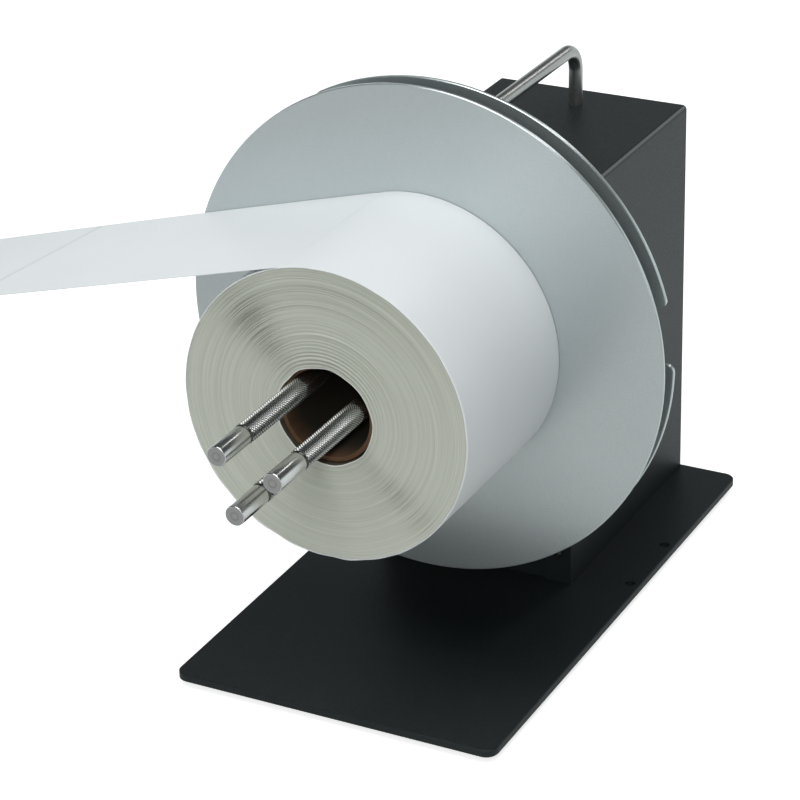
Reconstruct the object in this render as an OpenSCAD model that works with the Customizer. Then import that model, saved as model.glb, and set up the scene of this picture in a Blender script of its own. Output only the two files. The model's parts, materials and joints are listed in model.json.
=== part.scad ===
// Label rewinder: a motor in a folded steel housing turns a pair of discs.
// Three knurled rods hold the roll's core from inside. The rear disc is a scroll
// that moves all three rods in and out together when it is turned by its rim.
// Millimetres. Origin: middle of the four bench holes, on the base plate's underside; -Y front, +Z up.

/* [Base] */
// Width of the base plate
base_w = 164; // [150:1:190]
// Length of plate in front of the discs
base_front_l = 99; // [85:1:140]
// Thickness of the base plate
base_t = 4; // [3:0.5:8]
// Corner radius of the base plate
base_corner_r = 6; // [4:0.5:14]
// Diameter of a bench fixing hole
fix_hole_d = 5; // [3:0.5:5.5]
// Distance of the fixing holes from the plate's side edges
fix_hole_inset = 5; // [4:0.5:8]
// Distance between the two fixing holes on one side
fix_hole_pitch = 43; // [30:1:60]
// Distance of the rear fixing holes from the plate's rear edge
fix_hole_rear = 85; // [70:1:100]
// Diameter of a rubber foot
foot_d = 16; // [12:1:20]
// Height of a rubber foot
foot_h = 3; // [2:0.5:6]
// Distance of a foot's centre from the two nearest edges
foot_inset = 16; // [13:1:20]

/* [Housing] */
// Width of the housing
house_w = 102.5; // [98:0.5:120]
// Depth of the housing
house_d = 139; // [136:1:170]
// Height of the housing above the base plate
house_h = 200; // [195:1:230]
// Distance of the housing's back from the plate's rear edge
house_rear_inset = 2; // [0:0.5:8]
// Thickness of the cover and rear panel sheet
sheet_t = 1.5; // [1:0.1:2]
// Outer bend radius along the cover's top edges
bend_r = 2.2; // [2.1:0.1:4]
// Width of the cover's inward flanges
flange_w = 12; // [10:0.5:15]
// Thickness of the bracket that carries the drive
chassis_t = 3; // [2:0.5:5]
// Length of the bracket's foot
chassis_foot_l = 40; // [34:1:44]
// Count of cooling slots in the rear panel
vent_count = 5; // [2:1:5]
// Length of a cooling slot
vent_l = 50; // [30:1:56]
// Width of a cooling slot
vent_w = 3.5; // [2:0.5:5]

/* [Handle] */
// Diameter of the handle's rod
handle_d = 7; // [6:0.5:9]
// Distance between the handle's two legs
handle_span = 100; // [85:1:105]
// Height of the grip's centre line above the housing
handle_rise = 30; // [26:1:40]
// Centre line radius of the handle's bends
handle_bend_r = 12; // [8:1:18]
// Diameter of the studs below the legs
handle_stud_d = 5; // [4:0.5:5.5]

/* [Drive] */
// Height of the spindle's axis above the base plate
axis_h = 146.5; // [140:0.5:150]
// Distance from the housing's front to the front disc's face
spindle_reach = 53; // [48:1:70]
// Diameter of the spindle
shaft_d = 12; // [10:0.5:14]
// Outer diameter of the spindle's bearing
bearing_d = 28; // [26:1:32]
// Width of the spindle's bearing
bearing_w = 8; // [6:0.5:9]
// Side of the square gearbox
gearbox_w = 60; // [56:1:64]
// Length of the gearbox
gearbox_l = 38; // [34:1:42]
// Diameter of the motor
motor_d = 58; // [50:1:60]
// Length of the motor
motor_l = 72; // [60:1:74]
// Diameter of the four screws that hold bearing plate, bracket and gearbox
drive_screw_d = 5; // [4:0.5:6]

/* [Discs] */
// Diameter of the front disc
disc_d = 240; // [210:1:260]
// Diameter of the scroll disc behind it
scroll_d = 238; // [210:1:260]
// Thickness of a disc
disc_t = 2; // [1.9:0.1:3]
// Clear distance between the two discs
disc_gap = 12; // [11:0.5:16]
// Width of a grip notch in the scroll disc's rim
notch_w = 27; // [20:1:36]
// Depth of a grip notch
notch_depth = 10; // [7:0.5:14]
// Radius of a grip notch's outer corners
notch_corner_r = 4; // [2:0.5:6]
// Angle of the first grip notch above the right-hand side
notch_angle = 7; // [0:1:20]

/* [Rods] */
// Diameter of a core rod over its knurl
rod_d = 10; // [9:0.5:10.5]
// Diameter of a core rod's smooth tip
rod_tip_d = 9.2; // [8:0.2:10]
// Reach of the rods in front of the front disc
rod_reach = 165; // [150:1:200]
// Length of the smooth tip in front of the knurl
rod_tip_l = 25; // [15:1:35]
// Angle of the first rod above the right-hand side
rod_angle = 15.5; // [0:0.5:30]
// Inner diameter of the smallest core that the rods hold
core_min = 26; // [26:0.5:30]
// Inner diameter of the largest core that the rods hold
core_max = 110; // [90:1:112]
// Turn of the scroll disc from the smallest core to the largest
scroll_angle = 100; // [80:1:102]

/* [Label roll] */
// Inner diameter of the cardboard core
core_d = 42; // [38:0.5:76.5]
// Wall of the cardboard core
core_wall = 2; // [1.5:0.5:5]
// Outer diameter of the roll
roll_d = 139; // [100:1:200]
// Width of the roll
roll_w = 93; // [60:1:120]
// Thickness of the label web
web_t = 0.3; // [0.2:0.05:0.5]
// Slope of the web below level where it leaves the roll
web_angle = 15; // [0:1:30]
// Length of the free web
web_l = 240; // [150:1:300]

/* [Controls] */
// Height of the speed knob above the base plate
knob_up = 126; // [120:1:130]
// Diameter of the speed knob
knob_d = 24; // [18:1:28]
// Height of the speed knob
knob_h = 15; // [12:0.5:20]
// Height of the two rocker switches above the base plate
rocker_up = 86; // [76:1:92]
// Distance between the two rocker switches
rocker_pitch = 36; // [30:1:44]
// Length of a rocker's frame
rocker_l = 21; // [19:0.5:24]
// Width of a rocker's frame
rocker_w = 15; // [14:0.5:18]
// Height of the power inlet above the base plate
inlet_up = 36; // [26:1:50]
// Diameter of the power inlet's barrel
inlet_d = 11; // [10:0.5:13]

/* [Hidden] */
$fn = 96;
coat_black = [0.13, 0.14, 0.145];
disc_grey = [0.66, 0.68, 0.68];
steel = [0.62, 0.62, 0.6];
zinc = [0.75, 0.76, 0.76];
paper_white = [0.9, 0.92, 0.93];
roll_grey = [0.7, 0.71, 0.67];
card_brown = [0.5, 0.37, 0.25];
nylon = [0.85, 0.84, 0.8];
dark_plastic = [0.09, 0.09, 0.1];
board_green = [0.1, 0.3, 0.2];

// Clearances
run_gap = 0.3;      // between pieces that move past each other
shaft_fit = 0.05;   // radial, round a turning shaft
hole_fit = 0.05;    // radial, round a screw or pin
seat_fit = 0.2;     // between a sheet and the sheet that it slides into
edge_break = 0.4;   // of the plates' outer edges

// Places along Y, Z
base_l = base_front_l + spindle_reach + house_d + house_rear_inset;
base_y = fix_hole_rear + fix_hole_pitch / 2 - base_l / 2;
disc_face_y = base_y - base_l / 2 + base_front_l;
house_front_y = disc_face_y + spindle_reach;
house_rear_y = house_front_y + house_d;
axis_z = base_t + axis_h;
house_top_z = base_t + house_h;
cover_l = house_d - sheet_t;
cover_in_w = house_w - 2 * sheet_t;

// Places on the spindle's axis, measured forward from the front disc's face
scroll_front = -disc_t - disc_gap;
scroll_back = scroll_front - disc_t;
friction_t = 1.5;
hub_front = scroll_back - run_gap - friction_t;
hub_t = 4;
wall_face = -spindle_reach - sheet_t;
wall_back = wall_face - chassis_t;
bearing_lip = 2;
bearing_plate_t = bearing_w + bearing_lip;
bearing_plate_face = wall_face + bearing_plate_t;
bearing_split_d = shaft_d + 5;
circlip_front = wall_face + bearing_w + 1.2;
circlip_t = 1;
shaft_cut = 0.5;
boss_gap = 6;
boss_back = bearing_plate_face + boss_gap;
boss_d = shaft_d + 22;
shaft_back = wall_back - 20;
gearbox_back = wall_back - gearbox_l;
drive_pitch = gearbox_w - 2 * drive_screw_d;
drive_screw_in = 8;

// Scroll and rods
rod_rest = core_d / 2 - rod_d / 2 - run_gap;
rod_in = core_min / 2 - rod_d / 2;
rod_out = core_max / 2 - rod_d / 2;
scroll_rate = (rod_out - rod_in) / (scroll_angle * PI / 180);
follower_d = 6;
follower_over = 0.7;
spiral_half = follower_d / 2 + run_gap;
slot_steps = 36;
slot_end_steps = 12;
pillar_d = 12;
pillar_neck_d = 7;
pillar_half = pillar_neck_d / 2 + run_gap;
pillar_web = 2.5;
pillar_r = rod_out + spiral_half + pillar_web + pillar_half;
hub_r = pillar_r + pillar_d / 2 + 2;
block_half = rod_d / 2 + 1.5;
block_nose = rod_in - rod_d / 2 - 0.8;   // from the axis, with the rods closed
block_tail = rod_d / 2 + 5;              // from the rod's axis
tongue_half = rod_d / 2 + 0.7;
tongue_gap = 3 * run_gap;
slot_half = tongue_half + run_gap;
rod_seat = 7.5;
rod_back = -run_gap - rod_seat;
pin_front = rod_back - 1;
rod_groove_l = 1.4;
rod_groove = 0.5;
rod_chamfer = 0.8;

// Roll
core_r = core_d / 2 + core_wall;
roll_r = roll_d / 2;
wound_r = roll_r - web_t - run_gap;
roll_back = run_gap;
roll_front = roll_back + roll_w;
core_recess = 3;
ridge_count = 9;
ridge_h = 0.35;
ridge_low = 0.3;     // share of the height that the flattest ridge keeps
ridge_wave = 410;    // turn of the slow wave over all ridges, in degrees
ridge_steps = 6;

// Screws and small pieces
base_screw_d = 4;
panel_screw_d = 3;
pillar_screw_d = 3;
hub_screw_d = 4;
hub_screw_in = 6;
pillar_screw_in = 6;
nut_w = handle_stud_d * 1.8;
nut_h = handle_stud_d * 0.8;
foot_screw_y = [house_front_y + sheet_t + chassis_t + 12, house_front_y + chassis_foot_l - 7];
foot_screw_x = house_w / 2 - 22;
cover_flange_front = house_front_y + sheet_t + chassis_foot_l + 2;
cover_screw_x = cover_in_w / 2 - flange_w / 2;
cover_screw_y = [cover_flange_front + 10, house_rear_y - 2 * sheet_t - 10];
panel_screw_x = cover_in_w / 2 - flange_w / 2;
panel_screw_up = [16, house_h - sheet_t - flange_w / 2];
handle_y = [for (side = [-1, 1]) (house_front_y + house_rear_y) / 2 + side * handle_span / 2];

// Board
board_w = 66;
board_l = 70;
board_t = 1.6;
board_rise = 10;
board_y = house_rear_y - 2 * sheet_t - 12 - board_l / 2;
board_post_d = 6;
part_h = 22;
sink_w = 40;
fin_t = 1.5;
fin_l = 9;
fin_count = 6;
capacitor_d = 13;
terminal_w = 34;
terminal_l = 9;
board_z = base_t + board_rise;

// Controls
vent_pitch = 8;
vent_up = 148;
bush_d = 7;
pot_d = 16;
pot_l = 9;
pot_shaft_d = 4;
pot_nut_w = 10;
pot_nut_h = 2;
knob_gap = 0.6;
knob_turn = 260;     // the pointer groove is modelled at the slow end, to the lower left
flute_count = 20;
rocker_frame_t = 2;
rocker_body_l = 15;
rocker_rim = 2;
rocker_wall = 1.2;
rocker_pivot = -2;
rocker_axle_d = 2.4;
rocker_tilt = 10;
inlet_flange_d = inlet_d + 3;
inlet_flange_t = 1.5;
inlet_barrel_l = 13;
inlet_nut_h = 2.5;
inlet_bore_d = 6.3;
inlet_pin_d = 2;

// Frames
// Spindle frame: x to the right, y up, z forward from the front disc's face
module on_axis() {
    translate([0, disc_face_y, axis_z]) rotate([90, 0, 0]) children();
}

// Rear frame: seen from behind, x to the right, y up from the base plate, z outward
module on_rear() {
    translate([0, house_rear_y, base_t]) rotate([90, 0, 180]) children();
}

// Rod frame: x outward along the slot of one rod, z forward
module at_rod(index) {
    on_axis() rotate([0, 0, rod_angle + 120 * index]) translate([rod_rest, 0, 0]) children();
}

// One copy at each pillar, halfway between two slots
module at_pillars() {
    for (index = [0:2])
        rotate([0, 0, rod_angle + 60 + 120 * index]) translate([pillar_r, 0, 0]) children();
}

// One copy at each corner of a rectangle
module at_corners(w, l) {
    for (x = [-w / 2, w / 2], y = [-l / 2, l / 2]) translate([x, y, 0]) children();
}

// Shared shapes
module round_rect(w, l, r) {
    square([w - 2 * r, l], center = true);
    square([w, l - 2 * r], center = true);
    at_corners(w - 2 * r, l - 2 * r) circle(r);
}

// Half section of a plate with broken edges, out to x = reach
module edge_profile(reach, t) {
    polygon([[0, 0], [reach - edge_break, 0], [reach, edge_break], [reach, t - edge_break],
        [reach - edge_break, t], [0, t]]);
}

// Plate with round corners and broken edges
module edged_plate(w, l, r, t) {
    for (side = [0, 1]) mirror([side, 0, 0]) rotate([90, 0, 0])
        linear_extrude(l - 2 * r, center = true) edge_profile(w / 2, t);
    for (side = [0, 1]) mirror([0, side, 0]) rotate([90, 0, 90])
        linear_extrude(w - 2 * r, center = true) edge_profile(l / 2, t);
    at_corners(w - 2 * r, l - 2 * r) rotate_extrude() edge_profile(r, t);
}

module ring(r_in, r_out, low, high) {
    translate([0, 0, low]) linear_extrude(high - low) difference() {
        circle(r_out);
        circle(r_in);
    }
}

module rod_between(d, low, high) {
    translate([0, 0, low]) cylinder(d = d, h = high - low);
}

// Slot along x with round ends, between two centres
module slot_shape(x_low, x_high, half) {
    translate([x_low, -half]) square([x_high - x_low, 2 * half]);
    for (x = [x_low, x_high]) translate([x, 0]) circle(half);
}

// Part of a ring about the origin, with round ends
module arc_slot_shape(r, half, from, to) {
    walls = [for (step = [0:slot_steps]) from + (to - from) * step / slot_steps];
    ends = [for (step = [1:slot_end_steps - 1]) 180 * step / slot_end_steps];
    polygon(concat(
        [for (a = walls) (r + half) * [cos(a), sin(a)]],
        [for (a = ends) r * [cos(to), sin(to)] + half * [cos(to + a), sin(to + a)]],
        [for (step = [slot_steps:-1:0]) (r - half) * [cos(walls[step]), sin(walls[step])]],
        [for (a = ends) r * [cos(from), sin(from)] - half * [cos(from + a), sin(from + a)]]));
}

// Screw with a domed head and a hexagon socket; the head sits on z = 0
module cap_screw(d, l) {
    head_r = d * 0.9;
    head_h = d * 0.6;
    difference() {
        union() {
            translate([0, 0, -l]) cylinder(d = d, h = l);
            rotate_extrude() polygon([[0, 0], [head_r, 0], [head_r, head_h * 0.5],
                [head_r * 0.7, head_h], [0, head_h]]);
        }
        translate([0, 0, head_h * 0.4]) cylinder(d = d * 0.7, h = head_h, $fn = 6);
    }
}

// Screw with a countersunk head; the head's face is at z = 0
module sunk_screw(d, l) {
    difference() {
        union() {
            translate([0, 0, -l]) cylinder(d = d, h = l);
            translate([0, 0, -d / 2]) cylinder(d1 = d, d2 = 2 * d, h = d / 2);
        }
        translate([0, 0, -d * 0.3]) cylinder(d = d * 0.7, h = d, $fn = 6);
    }
}

// Room for a countersunk screw
module sunk_hole(d, l) {
    translate([0, 0, -l]) cylinder(d = d + 2 * hole_fit, h = l + 1);
    translate([0, 0, -d / 2]) cylinder(d1 = d + 2 * hole_fit, d2 = 2 * (d + hole_fit), h = d / 2);
    cylinder(d = 2 * (d + hole_fit), h = 1);
}

// Front view of the housing: a rectangle with round top corners, shrunk by inset
module house_outline(inset) {
    w = house_w - 2 * inset;
    h = house_h - inset;
    r = bend_r - inset;
    translate([-w / 2, 0]) square([w, h - r]);
    translate([-w / 2 + r, 0]) square([w - 2 * r, h]);
    for (side = [-1, 1]) translate([side * (w / 2 - r), h - r]) circle(r);
}

// Flat disc blank with broken rim edges, its front face at z = front
module disc_blank(d, front) {
    translate([0, 0, front - disc_t]) rotate_extrude($fn = 180) edge_profile(d / 2, disc_t);
}

// Base
module at_fix_holes() {
    at_corners(base_w - 2 * fix_hole_inset, fix_hole_pitch) children();
}

module at_base_screws() {
    for (side = [-1, 1], y = foot_screw_y)
        translate([side * foot_screw_x, y, 0]) rotate([180, 0, 0]) children();
    for (side = [-1, 1], y = cover_screw_y)
        translate([side * cover_screw_x, y, 0]) rotate([180, 0, 0]) children();
}

module base_plate() {
    color(coat_black) difference() {
        translate([0, base_y, 0]) edged_plate(base_w, base_l, base_corner_r, base_t);
        at_fix_holes() translate([0, 0, -1]) cylinder(d = fix_hole_d, h = base_t + 2);
        at_base_screws() sunk_hole(base_screw_d, base_t + 1);
    }
}

module rubber_feet() {
    color(dark_plastic) translate([0, base_y, -foot_h])
        at_corners(base_w - 2 * foot_inset, base_l - 2 * foot_inset) rotate_extrude()
            polygon([[0, 0.5], [foot_d * 0.2, 0.5], [foot_d * 0.25, 0], [foot_d / 2 - 1.2, 0],
                [foot_d / 2 - 0.4, 0.6], [foot_d / 2, foot_h], [0, foot_h]]);
}

module base_screws() {
    color(zinc) at_base_screws() sunk_screw(base_screw_d, base_t + sheet_t);
}

// Housing
module chassis_bracket() {
    bracket_w = cover_in_w - 2 * seat_fit;
    wall_y = house_front_y + sheet_t;
    wall_h = house_h - sheet_t - seat_fit;
    color(coat_black) difference() {
        union() {
            translate([-bracket_w / 2, wall_y, base_t]) cube([bracket_w, chassis_t, wall_h]);
            translate([-bracket_w / 2, wall_y, base_t]) cube([bracket_w, chassis_foot_l, chassis_t]);
            for (side = [-1, 1]) chassis_gusset(side * (bracket_w / 2 - chassis_t / 2));
        }
        on_axis() translate([0, 0, wall_back - 1]) {
            cylinder(d = (shaft_d + bearing_d) / 2, h = chassis_t + 2);
            at_corners(drive_pitch, drive_pitch)
                cylinder(d = drive_screw_d + 2 * hole_fit, h = chassis_t + 2);
        }
        at_base_screws() translate([0, 0, -base_t - chassis_t - 1])
            cylinder(d = base_screw_d + 2 * hole_fit, h = base_t + chassis_t + 1);
        at_front_screws() translate([0, 0, -sheet_t - chassis_t - 1])
            cylinder(d = panel_screw_d + 2 * hole_fit, h = chassis_t + 2);
    }
}

// Triangular web between the bracket's wall and foot
module chassis_gusset(x) {
    reach = chassis_foot_l;
    translate([x - chassis_t / 2, house_front_y + sheet_t, base_t])
        rotate([90, 0, 90]) linear_extrude(chassis_t) polygon([[0, 0], [reach, 0], [0, reach]]);
}

module at_front_screws() {
    for (side = [-1, 1], up = panel_screw_up)
        translate([side * panel_screw_x, house_front_y, base_t + up]) rotate([90, 0, 0]) children();
}

module at_rear_screws() {
    on_rear() for (side = [-1, 1], up = panel_screw_up)
        translate([side * panel_screw_x, up, 0]) children();
}

module front_screws() {
    color(dark_plastic) at_front_screws() cap_screw(panel_screw_d, sheet_t + chassis_t);
}

module rear_screws() {
    color(dark_plastic) at_rear_screws() cap_screw(panel_screw_d, 2 * sheet_t);
}

module housing_cover() {
    rear_y = house_front_y + cover_l;
    foot_l = rear_y - cover_flange_front;
    color(coat_black) difference() {
        union() {
            translate([0, rear_y, base_t]) rotate([90, 0, 0]) linear_extrude(cover_l) difference() {
                house_outline(0);
                house_outline(sheet_t);
            }
            for (y = [house_front_y + sheet_t, rear_y]) translate([0, y, base_t]) rotate([90, 0, 0])
                linear_extrude(sheet_t) difference() {
                    house_outline(0);
                    translate([-cover_in_w / 2 + flange_w, 0])
                        square([cover_in_w - 2 * flange_w, house_h - sheet_t - flange_w]);
                }
            for (side = [-1, 1])
                translate([side * (cover_in_w - flange_w) / 2, rear_y - foot_l / 2, base_t])
                    linear_extrude(sheet_t) square([flange_w + sheet_t, foot_l], center = true);
        }
        for (y = handle_y) translate([0, y, house_top_z - 2 * sheet_t])
            cylinder(d = handle_stud_d + 2 * hole_fit, h = 3 * sheet_t);
        at_base_screws() translate([0, 0, -base_t - sheet_t - 1])
            cylinder(d = base_screw_d + 2 * hole_fit, h = sheet_t + 2);
        at_front_screws() translate([0, 0, -sheet_t - 1])
            cylinder(d = panel_screw_d + 2 * hole_fit, h = sheet_t + 2);
        at_rear_screws() translate([0, 0, -2 * sheet_t - 1])
            cylinder(d = panel_screw_d + 2 * hole_fit, h = sheet_t + 2);
    }
}

module rear_panel() {
    switch_hole_w = rocker_w - rocker_rim + 2 * hole_fit;
    switch_hole_l = rocker_l - rocker_rim + 2 * hole_fit;
    color(coat_black) difference() {
        on_rear() translate([0, 0, -sheet_t]) linear_extrude(sheet_t) difference() {
            house_outline(0);
            for (step = [0:vent_count - 1]) translate([0, vent_up + step * vent_pitch])
                slot_shape(-vent_l / 2 + vent_w / 2, vent_l / 2 - vent_w / 2, vent_w / 2);
            translate([0, knob_up]) circle(d = bush_d + 2 * hole_fit);
            for (side = [-1, 1]) translate([side * rocker_pitch / 2, rocker_up])
                square([switch_hole_w, switch_hole_l], center = true);
            translate([0, inlet_up]) circle(d = inlet_d + 2 * hole_fit);
        }
        at_rear_screws() translate([0, 0, -sheet_t - 1])
            cylinder(d = panel_screw_d + 2 * hole_fit, h = sheet_t + 2);
    }
}

// Handle: one bent rod along Y, shouldered on the cover, with a nut below each leg
module handle() {
    leg_h = handle_rise - handle_bend_r;
    color(steel) for (side = [0, 1])
        translate([0, handle_y[side], house_top_z]) rotate([0, 0, side * 180]) {
            cylinder(d = handle_d, h = leg_h);
            translate([0, 0, -sheet_t - nut_h - 2])
                cylinder(d = handle_stud_d, h = sheet_t + nut_h + 2);
            translate([0, handle_bend_r, leg_h]) rotate([90, 0, -90]) rotate_extrude(angle = 90)
                translate([handle_bend_r, 0]) circle(d = handle_d);
            translate([0, handle_bend_r, handle_rise]) rotate([-90, 0, 0])
                cylinder(d = handle_d, h = handle_span / 2 - handle_bend_r);
        }
}

module handle_nuts() {
    color(zinc) for (y = handle_y) translate([0, y, house_top_z - sheet_t - nut_h]) difference() {
        union() {
            cylinder(d = nut_w / cos(30), h = nut_h, $fn = 6);
            translate([0, 0, nut_h - 1]) cylinder(d = nut_w * 1.4, h = 1);
        }
        translate([0, 0, -1]) cylinder(d = handle_stud_d + 2 * hole_fit, h = nut_h + 2);
    }
}

// Drive
module bearing_plate() {
    color(zinc) on_axis() difference() {
        translate([0, 0, wall_face]) linear_extrude(bearing_plate_t)
            round_rect(gearbox_w, gearbox_w, drive_screw_d);
        translate([0, 0, wall_face - 1]) cylinder(d = bearing_d + 2 * hole_fit, h = bearing_w + 1);
        translate([0, 0, wall_face]) cylinder(d = bearing_d * 0.75, h = bearing_plate_t + 1);
        translate([0, 0, wall_face - 1]) at_corners(drive_pitch, drive_pitch)
            cylinder(d = drive_screw_d + 2 * hole_fit, h = bearing_plate_t + 2);
    }
}

// Sealed ball bearing, as its outer ring with the seals and its inner ring
module bearing_outer_ring() {
    color(steel) on_axis()
        ring(bearing_split_d / 2 + run_gap, bearing_d / 2, wall_face, wall_face + bearing_w);
}

module bearing_inner_ring() {
    color(steel) on_axis()
        ring(shaft_d / 2 + hole_fit, bearing_split_d / 2, wall_face, wall_face + bearing_w);
}

module drive_screws() {
    color(zinc) on_axis() translate([0, 0, bearing_plate_face]) at_corners(drive_pitch, drive_pitch)
        cap_screw(drive_screw_d, bearing_plate_t + chassis_t + drive_screw_in);
}

module gearbox() {
    color(steel) on_axis() difference() {
        translate([0, 0, gearbox_back]) linear_extrude(gearbox_l)
            round_rect(gearbox_w, gearbox_w, drive_screw_d);
        translate([0, 0, shaft_back - 1])
            cylinder(d = shaft_d + 2 * shaft_fit, h = wall_back - shaft_back + 2);
        translate([0, 0, wall_back - drive_screw_in - 2]) at_corners(drive_pitch, drive_pitch)
            cylinder(d = drive_screw_d + 2 * hole_fit, h = drive_screw_in + 3);
    }
}

// Motor can with a stepped end cap and two terminals
module motor() {
    cap_h = 10;
    color(dark_plastic) on_axis() translate([0, 0, gearbox_back - motor_l]) {
        rotate_extrude() polygon([[0, 0], [motor_d * 0.2, 0], [motor_d * 0.2, 3], [motor_d * 0.42, 3],
            [motor_d * 0.46, cap_h], [motor_d / 2, cap_h], [motor_d / 2, motor_l], [0, motor_l]]);
        for (side = [-1, 1]) translate([side * motor_d * 0.3, 0, -3])
            linear_extrude(8) square([0.8, 5], center = true);
    }
}

// Board
module at_board_posts() {
    translate([0, board_y, 0])
        at_corners(board_w - 2 * board_post_d, board_l - 2 * board_post_d) children();
}

module control_board() {
    color(board_green) difference() {
        translate([-board_w / 2, board_y - board_l / 2, board_z]) cube([board_w, board_l, board_t]);
        at_board_posts() translate([0, 0, board_z - 1]) cylinder(d = 3, h = board_t + 2);
    }
}

module board_posts() {
    color(zinc) at_board_posts() translate([0, 0, base_t])
        cylinder(d = board_post_d, h = board_rise, $fn = 6);
}

// Heat sink, two capacitors and a terminal block
module board_parts() {
    top = board_z + board_t;
    fin_pitch = (sink_w - fin_t) / (fin_count - 1);
    color(dark_plastic) {
        translate([-sink_w / 2, board_y - fin_l, top]) {
            cube([sink_w, fin_t, part_h]);
            for (step = [0:fin_count - 1]) translate([step * fin_pitch, 0, 0]) cube([fin_t, fin_l, part_h]);
        }
        for (side = [-1, 1]) translate([side * capacitor_d, board_y + board_l * 0.28, top])
            cylinder(d = capacitor_d, h = part_h);
        translate([-terminal_w / 2, board_y - board_l / 2 + 2, top]) difference() {
            cube([terminal_w, terminal_l, terminal_l]);
            for (step = [0.5:5.5]) translate([step * terminal_w / 6, terminal_l / 2, terminal_l / 2])
                cylinder(d = terminal_w / 12, h = terminal_l);
        }
    }
}

// Controls on the rear panel
module power_inlet() {
    color(dark_plastic) on_rear() translate([0, inlet_up, 0]) {
        difference() {
            union() {
                translate([0, 0, -inlet_barrel_l]) cylinder(d = inlet_d, h = inlet_barrel_l);
                cylinder(d = inlet_flange_d, h = inlet_flange_t);
            }
            translate([0, 0, -inlet_barrel_l + 3]) cylinder(d = inlet_bore_d, h = inlet_barrel_l);
        }
        translate([0, 0, -inlet_barrel_l]) cylinder(d = inlet_pin_d, h = inlet_barrel_l - 1);
    }
}

module inlet_nut() {
    color(zinc) on_rear() translate([0, inlet_up, -sheet_t - inlet_nut_h]) difference() {
        cylinder(d = inlet_d * 1.4, h = inlet_nut_h, $fn = 6);
        translate([0, 0, -1]) cylinder(d = inlet_d + 2 * hole_fit, h = inlet_nut_h + 2);
    }
}

module speed_pot() {
    bush_front = pot_nut_h + 1;
    color(zinc) on_rear() translate([0, knob_up, 0]) difference() {
        union() {
            translate([0, 0, -sheet_t - pot_l]) cylinder(d = pot_d, h = pot_l);
            translate([0, 0, -sheet_t]) cylinder(d = bush_d, h = sheet_t + bush_front);
        }
        translate([0, 0, -sheet_t - pot_l + 2])
            cylinder(d = pot_shaft_d + 2 * shaft_fit, h = pot_l + sheet_t + bush_front);
    }
}

module pot_nut() {
    color(zinc) on_rear() translate([0, knob_up, 0]) difference() {
        cylinder(d = pot_nut_w / cos(30), h = pot_nut_h, $fn = 6);
        translate([0, 0, -1]) cylinder(d = bush_d + 2 * hole_fit, h = pot_nut_h + 2);
    }
}

module pot_shaft() {
    color(steel) on_rear() translate([0, knob_up, 0])
        rod_between(pot_shaft_d, -sheet_t - pot_l + 2 + run_gap, knob_h - 3);
}

// Fluted knob with a pointer groove on its face; it hides the nut
module speed_knob() {
    r = knob_d / 2;
    pocket_r = pot_nut_w / cos(30) / 2 + 1;
    color(dark_plastic) on_rear() translate([0, knob_up, 0]) difference() {
        rotate_extrude() polygon([[0, knob_gap], [r, knob_gap], [r, 4], [r - 1.5, 4.5],
            [r - 2.2, knob_h - 1], [r - 3.2, knob_h], [0, knob_h]]);
        translate([0, 0, -1]) cylinder(r = pocket_r, h = pot_nut_h + 3);
        translate([0, 0, -1]) cylinder(d = pot_shaft_d + 2 * hole_fit, h = knob_h - 1.5);
        for (step = [0:flute_count - 1]) rotate([0, 0, step * 360 / flute_count])
            translate([r - 0.8, 0, 4.8]) cylinder(r = 1, h = knob_h, $fn = 24);
        rotate([0, 0, knob_turn / 2]) translate([-0.6, r * 0.3, knob_h - 0.8]) cube([1.2, r, 2]);
    }
}

module at_switch(side) {
    on_rear() translate([side * rocker_pitch / 2, rocker_up, 0]) children();
}

// Switch frame and body, with a well for the rocker and holes for its axle
module switch_body(side) {
    well_w = rocker_w - rocker_rim - 2 * rocker_wall;
    well_l = rocker_l - rocker_rim - 2 * rocker_wall;
    well_d = 10;
    color(dark_plastic) at_switch(side) difference() {
        union() {
            linear_extrude(rocker_frame_t) round_rect(rocker_w, rocker_l, 1);
            translate([0, 0, -rocker_body_l / 2])
                cube([rocker_w - rocker_rim, rocker_l - rocker_rim, rocker_body_l], center = true);
            for (step = [-1, 1]) translate([0, step * 4, -rocker_body_l - 3])
                cube([4, 0.8, 7], center = true);
        }
        translate([0, 0, rocker_frame_t - well_d / 2 + 0.5])
            cube([well_w, well_l, well_d + 1], center = true);
        translate([0, 0, rocker_pivot]) rotate([0, 90, 0])
            cylinder(d = rocker_axle_d + 2 * shaft_fit, h = rocker_w - rocker_rim - 0.4, center = true);
    }
}

module power_switch() {
    switch_body(-1);
}

module direction_switch() {
    switch_body(1);
}

// Rocker on its axle, leaning by tilt about x
module rocker(side, tilt) {
    half_w = (rocker_w - rocker_rim) / 2 - rocker_wall - run_gap;
    half_l = (rocker_l - rocker_rim) / 2 - rocker_wall - 2.5 * run_gap;
    foot = half_l * 0.65;
    rise = rocker_frame_t - rocker_pivot;
    color(dark_plastic) at_switch(side) translate([0, 0, rocker_pivot]) rotate([tilt, 0, 0]) {
        translate([-half_w, 0, 0]) rotate([90, 0, 90]) linear_extrude(2 * half_w)
            polygon([[-half_l, rise], [0, rise - 1], [half_l, rise], [half_l - 0.5, 0.5], [foot, -4.5],
                [-foot, -4.5], [-half_l + 0.5, 0.5]]);
        rotate([0, 90, 0]) cylinder(d = rocker_axle_d, h = rocker_w - rocker_rim - 1, center = true);
    }
}

module power_rocker() {
    rocker(-1, -rocker_tilt);
}

module direction_rocker() {
    rocker(1, 0);
}

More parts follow.
